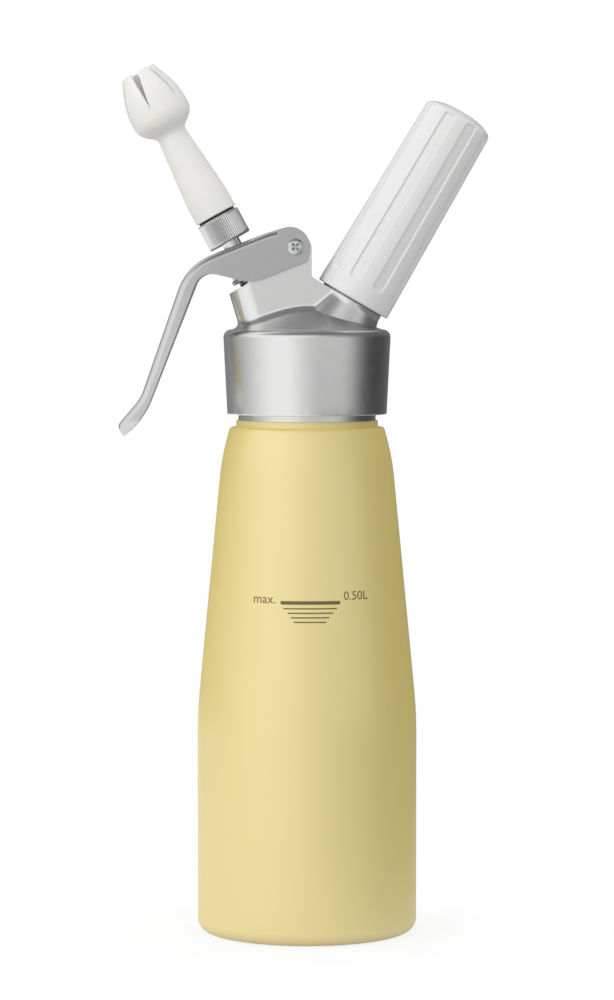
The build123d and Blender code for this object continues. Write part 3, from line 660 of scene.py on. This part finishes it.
holder = lathe("holder_cap", [
    (0, 78.9), (7.5, 78.9, 14), (13.0, 76.4, 2.6), (14.3, 0.65, 0.6), (11.1, 0.65, 0.3), (11.1, 16.0),
    (9.9, 17.2), (9.9, 74.3, 6.4), (0, 74.3),
], INLET, 432, 0.75, fluted)
add(holder, "holder", WHITE, ["charger_holder"])

# ---------------------------------------------------------------- gas check spring
CHECK = Matrix.Translation((10.5 * MM, 0, 0))
check_spring = coil("check_spring_coil", CHECK, 2.25, 0.25, 209.3, 212.85, 4, 32, 10)
add(check_spring, "head", SPRING, ["check_spring"])
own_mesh(check_spring)


# ---------------------------------------------------------------- pivot screw with its cross recess
def make_screw():
    place = Matrix.Translation((PIVOT.x, -10.85 * MM, PIVOT.z)) @ Matrix.Rotation(radians(-90), 4, "X")
    screw = lathe("pivot_screw_head", [
        (0, -1.9), (3.05, -1.9, 1.3), (3.05, 0), (1.45, 0), (1.45, 10, 0.4), (0, 10),
    ], place, 96, turn_step=4.0)
    cutter = bmesh.new()
    rings = []
    for length, width, height in ((0.6, 0.2, 0.1), (1.7, 0.4, -2.1)):
        quarter = [(width, width), (width, length), (-width, length)]
        ring = []
        for turn in range(4):
            c, w = cos(radians(45 + 90 * turn)), sin(radians(45 + 90 * turn))
            ring += [
                cutter.verts.new(Vector((x * c - y * w, x * w + y * c, height)) * MM) for x, y in quarter
            ]
        rings.append(ring)
    for index in range(12):
        after = (index + 1) % 12
        cutter.faces.new((rings[0][index], rings[0][after], rings[1][after], rings[1][index]))
    cutter.faces.new(rings[0])
    cutter.faces.new(rings[1])
    cut_away(screw, cutter, 30)
    dress(screw, ZINC, RECESS_SHADE)
    # faces inside the cross recess get the painted shade
    for face in screw.data.polygons:
        middle = face.center / MM
        face.material_index = 1 if hypot(middle.x, middle.y) < 1.7 and -1.84 < middle.z < 0.2 else 0
    return screw


add(make_screw(), "lever", (ZINC, RECESS_SHADE), ["pivot_screw"])


# ---------------------------------------------------------------- CAD nodes that show as they are
def smoothing_tree():
    """Joins the facets' shared corners and smooths every edge under 32 degrees."""
    tree = bpy.data.node_groups.new("smooth_shallow_edges", "GeometryNodeTree")
    tree.interface.new_socket("Geometry", in_out="INPUT", socket_type="NodeSocketGeometry")
    tree.interface.new_socket("Geometry", in_out="OUTPUT", socket_type="NodeSocketGeometry")
    start = tree.nodes.new("NodeGroupInput")
    end = tree.nodes.new("NodeGroupOutput")
    weld = tree.nodes.new("GeometryNodeMergeByDistance")
    weld.inputs["Distance"].default_value = 2e-6
    faces = tree.nodes.new("GeometryNodeSetShadeSmooth")
    edges = tree.nodes.new("GeometryNodeSetShadeSmooth")
    edges.domain = "EDGE"
    angle = tree.nodes.new("GeometryNodeInputMeshEdgeAngle")
    shallow = tree.nodes.new("FunctionNodeCompare")
    shallow.operation = "LESS_THAN"
    shallow.inputs["B"].default_value = radians(32)
    tree.links.new(angle.outputs["Unsigned Angle"], shallow.inputs["A"])
    tree.links.new(start.outputs[0], weld.inputs["Geometry"])
    tree.links.new(weld.outputs["Geometry"], faces.inputs["Geometry"])
    tree.links.new(faces.outputs["Geometry"], edges.inputs["Geometry"])
    tree.links.new(shallow.outputs["Result"], edges.inputs["Shade Smooth"])
    tree.links.new(edges.outputs["Geometry"], end.inputs[0])
    return tree


SMOOTH = smoothing_tree()
shown = {
    "head_body": HEAD,
    "head_gasket": RUBBER,
    "guide_bush": ACETAL,
    "stem_oring": RUBBER,
    "valve_seat": STEEL_PLAIN,
    "valve_stem": POLISHED,
    "spring_clip": SPRING,
    "thrust_collar": POLISHED,
    "valve_seal": RUBBER,
    "valve_nut": STEEL_PLAIN,
    "lever": LEVER,
    "pivot_sleeve": STEEL_PLAIN,
    "nozzle_ring": RUBBER,
    "inlet_washer": GREY_RUBBER,
    "piercing_pin": STEEL_PLAIN,
    "charger_seal": RUBBER,
    "charger": ZINC,
    "check_poppet": PALE_RUBBER,
    "check_plug": ACETAL,
}
for name, material in shown.items():
    dress(nodes[name], material)
    nodes[name].modifiers.new("smooth", "NODES").node_group = SMOOTH
    weighted = nodes[name].modifiers.new("weighted", "WEIGHTED_NORMAL")
    weighted.keep_sharp = True


# ---------------------------------------------------------------- floor, light and camera
def make_floor():
    """Pale floor that keeps the object's faint shadow near it and runs out to plain white.

    In gloss it grows darker towards the right, as the tent does, and diffuse bounces see it grey.
    """
    steps, height = 64, -0.0002
    mesh = bmesh.new()
    rings = []
    for radius in (0.0, 0.2, 0.6, 2.0, 8.0):
        count = 1 if radius == 0 else steps
        turns = [2 * pi * i / steps for i in range(count)]
        rings.append([mesh.verts.new((radius * cos(t), radius * sin(t), height)) for t in turns])
    for inner, outer in zip(rings, rings[1:]):
        for i in range(steps):
            j = (i + 1) % steps
            quad = [inner[i % len(inner)], outer[i], outer[j], inner[j % len(inner)]]
            mesh.faces.new(list(dict.fromkeys(quad)))
    floor = finish_mesh("floor", mesh, UPRIGHT)
    m = new_material("floor_white", (0.9, 0.9, 0.9), 0.6)
    tree_nodes, links = nodes_of(m)
    shader = tree_nodes["Principled BSDF"]
    shader.inputs["Specular IOR Level"].default_value = 0.1
    glow = tree_nodes.new("ShaderNodeEmission")
    glow.inputs["Color"].default_value = (1, 1, 1, 1)
    glow.inputs["Strength"].default_value = 1.0
    mix = tree_nodes.new("ShaderNodeMixShader")
    path = tree_nodes.new("ShaderNodeLightPath")
    tint(m, path.outputs["Is Diffuse Ray"], (0.9, 0.9, 0.9), (0.5, 0.5, 0.5))
    far = mapped(m, radius_of(m), 0.038, 0.09, 0.84, 1.0, True)
    seen = math(m, "MAXIMUM", path.outputs["Is Camera Ray"],
                math(m, "MAXIMUM", path.outputs["Is Glossy Ray"], path.outputs["Is Transmission Ray"]))
    links.new(math(m, "MULTIPLY", far, seen), mix.inputs["Fac"])
    x, _, _ = split_xyz(m)
    flagged = math(m, "MULTIPLY", mapped(m, x, -0.1, 0.3, 0, 0.8, True), path.outputs["Is Glossy Ray"])
    links.new(math(m, "SUBTRACT", 1, flagged), glow.inputs["Strength"])
    links.new(shader.outputs["BSDF"], mix.inputs[1])
    links.new(glow.outputs["Emission"], mix.inputs[2])
    links.new(mix.outputs["Shader"], tree_nodes["Material Output"].inputs["Surface"])
    dress(floor, m)


def dot_with(tree, vector, direction):
    node = tree.nodes.new("ShaderNodeVectorMath")
    node.operation = "DOT_PRODUCT"
    tree.links.new(vector, node.inputs[0])
    node.inputs[1].default_value = direction
    return node.outputs["Value"]


def ramp_of(tree, value, low, high, stops):
    """Level that follows (value, level) stops."""
    share = tree.nodes.new("ShaderNodeMapRange")
    share.inputs["From Min"].default_value = low
    share.inputs["From Max"].default_value = high
    tree.links.new(value, share.inputs["Value"])
    ramp = tree.nodes.new("ShaderNodeValToRGB")
    ramp.color_ramp.interpolation = "B_SPLINE"
    places = [(place - low) / (high - low) for place, _ in stops]
    ramp.color_ramp.elements[0].position = places[0]
    ramp.color_ramp.elements[1].position = places[-1]
    for place in places[1:-1]:
        ramp.color_ramp.elements.new(place)
    for element, (_, level) in zip(ramp.color_ramp.elements, stops):
        element.color = (level, level, level, 1)
    tree.links.new(share.outputs["Result"], ramp.inputs["Fac"])
    return ramp.outputs["Color"]


def make_tent():
    """Photographer's light tent that only shows in gloss: white at the front left, dark at the right."""
    mesh = bmesh.new()
    bmesh.ops.create_uvsphere(mesh, u_segments=96, v_segments=48, radius=1.0)
    tent = finish_mesh("tent", mesh, Matrix.Translation((0, 0, 0.15)))
    m = bpy.data.materials.new("tent_cloth")
    m.use_nodes = True
    tree = m.node_tree
    tree.nodes.remove(tree.nodes["Principled BSDF"])
    place = tree.nodes.new("ShaderNodeTexCoord").outputs["Object"]
    split = tree.nodes.new("ShaderNodeSeparateXYZ")
    tree.links.new(place, split.inputs["Vector"])
    turn = math(m, "MULTIPLY", math(m, "ARCTAN2", split.outputs["X"],
                                    math(m, "MULTIPLY", split.outputs["Y"], -1)), 180 / pi)
    around = ramp_of(tree, turn, -180, 180, tent_levels)
    above = ramp_of(tree, dot_with(tree, place, (-0.62, 0.42, 0.66)), -1, 1, tent_top_levels)
    lifted = ramp_of(tree, turn, -180, 180, tent_middle_levels)

    def blend(low, high, first, second):
        up = mapped(m, split.outputs["Z"], low, high, 0, 1, True)
        down = math(m, "SUBTRACT", 1, up)
        return math(m, "ADD", math(m, "MULTIPLY", first, down), math(m, "MULTIPLY", second, up))

    glow = tree.nodes.new("ShaderNodeEmission")
    tree.links.new(blend(0.5, 0.8, blend(0.08, 0.4, around, lifted), above), glow.inputs["Strength"])
    tree.links.new(glow.outputs["Emission"], tree.nodes["Material Output"].inputs["Surface"])
    m.cycles.emission_sampling = "NONE"
    dress(tent, m)
    tent.visible_camera = tent.visible_diffuse = tent.visible_transmission = False
    tent.visible_shadow = tent.visible_volume_scatter = False


def make_world():
    """White behind the object; for diffuse light, a soft room a little brighter at the front left."""
    world = bpy.data.worlds.new("studio")
    bpy.context.scene.world = world
    world.use_nodes = True
    tree = world.node_tree
    background = tree.nodes["Background"]
    output = tree.nodes["World Output"]
    place = tree.nodes.new("ShaderNodeTexCoord").outputs["Generated"]
    level = ramp_of(tree, dot_with(tree, place, (-0.7, -0.55, 0.45)), -1, 1, room_levels)
    tree.links.new(level, background.inputs["Color"])
    background.inputs["Strength"].default_value = 1.0
    white = tree.nodes.new("ShaderNodeBackground")
    white.inputs["Color"].default_value = (1, 1, 1, 1)
    white.inputs["Strength"].default_value = 1.0
    path = tree.nodes.new("ShaderNodeLightPath")
    mix = tree.nodes.new("ShaderNodeMixShader")
    tree.links.new(path.outputs["Is Diffuse Ray"], mix.inputs["Fac"])
    tree.links.new(white.outputs[0], mix.inputs[1])
    tree.links.new(background.outputs[0], mix.inputs[2])
    tree.links.new(mix.outputs[0], output.inputs["Surface"])


def area_lamp(name, place, aim, width, height, power):
    data = bpy.data.lights.new(name, "AREA")
    data.shape = "RECTANGLE"
    data.size, data.size_y, data.energy = width, height, power
    lamp = bpy.data.objects.new(name, data)
    lamp.location = place
    lamp.rotation_euler = (Vector(aim) - Vector(place)).to_track_quat("-Z", "Y").to_euler()
    bpy.context.scene.collection.objects.link(lamp)
    return lamp


# what each direction shows, from -180 to 180 degrees about Z with the front at 0 and the right at 90
tent_levels = (
    (-180, 0.2), (-145, 0.22), (-110, 0.38), (-80, 0.68), (-55, 1.0), (-22, 1.05), (-4, 0.62),
    (18, 0.62), (50, 0.70), (66, 0.45), (84, 0.08), (110, 0.03), (145, 0.1), (180, 0.2),
)
tent_middle_levels = (
    (-180, 0.2), (-120, 0.4), (-85, 1.0), (-60, 1.9), (-22, 1.8), (0, 0.75), (30, 0.5), (60, 0.3),
    (90, 0.12), (130, 0.08), (180, 0.2),
)
tent_top_levels = ((-1, 0.12), (0.5, 0.18), (0.75, 0.28), (0.85, 0.4), (0.94, 1.3), (1, 1.4))
room_levels = ((-1, 0.85), (0, 0.95), (1, 1.1))

make_floor()
make_tent()
make_world()
area_lamp("key", (-0.95, -0.9, 0.75), (0, 0, 0.15), 0.7, 0.7, 5.0).visible_glossy = False

camera_data = bpy.data.cameras.new("camera")
camera_data.lens = 133.5
camera_data.sensor_width = 36.0
camera_data.clip_end = 20
camera = bpy.data.objects.new("camera", camera_data)
camera.location = (0, -1.35, 0.2307)
camera.rotation_euler = (Vector((0, 0, 0.15775)) - camera.location).to_track_quat("-Z", "Y").to_euler()
bpy.context.scene.collection.objects.link(camera)
bpy.context.scene.camera = camera
bpy.context.scene.view_settings.view_transform = "Standard"
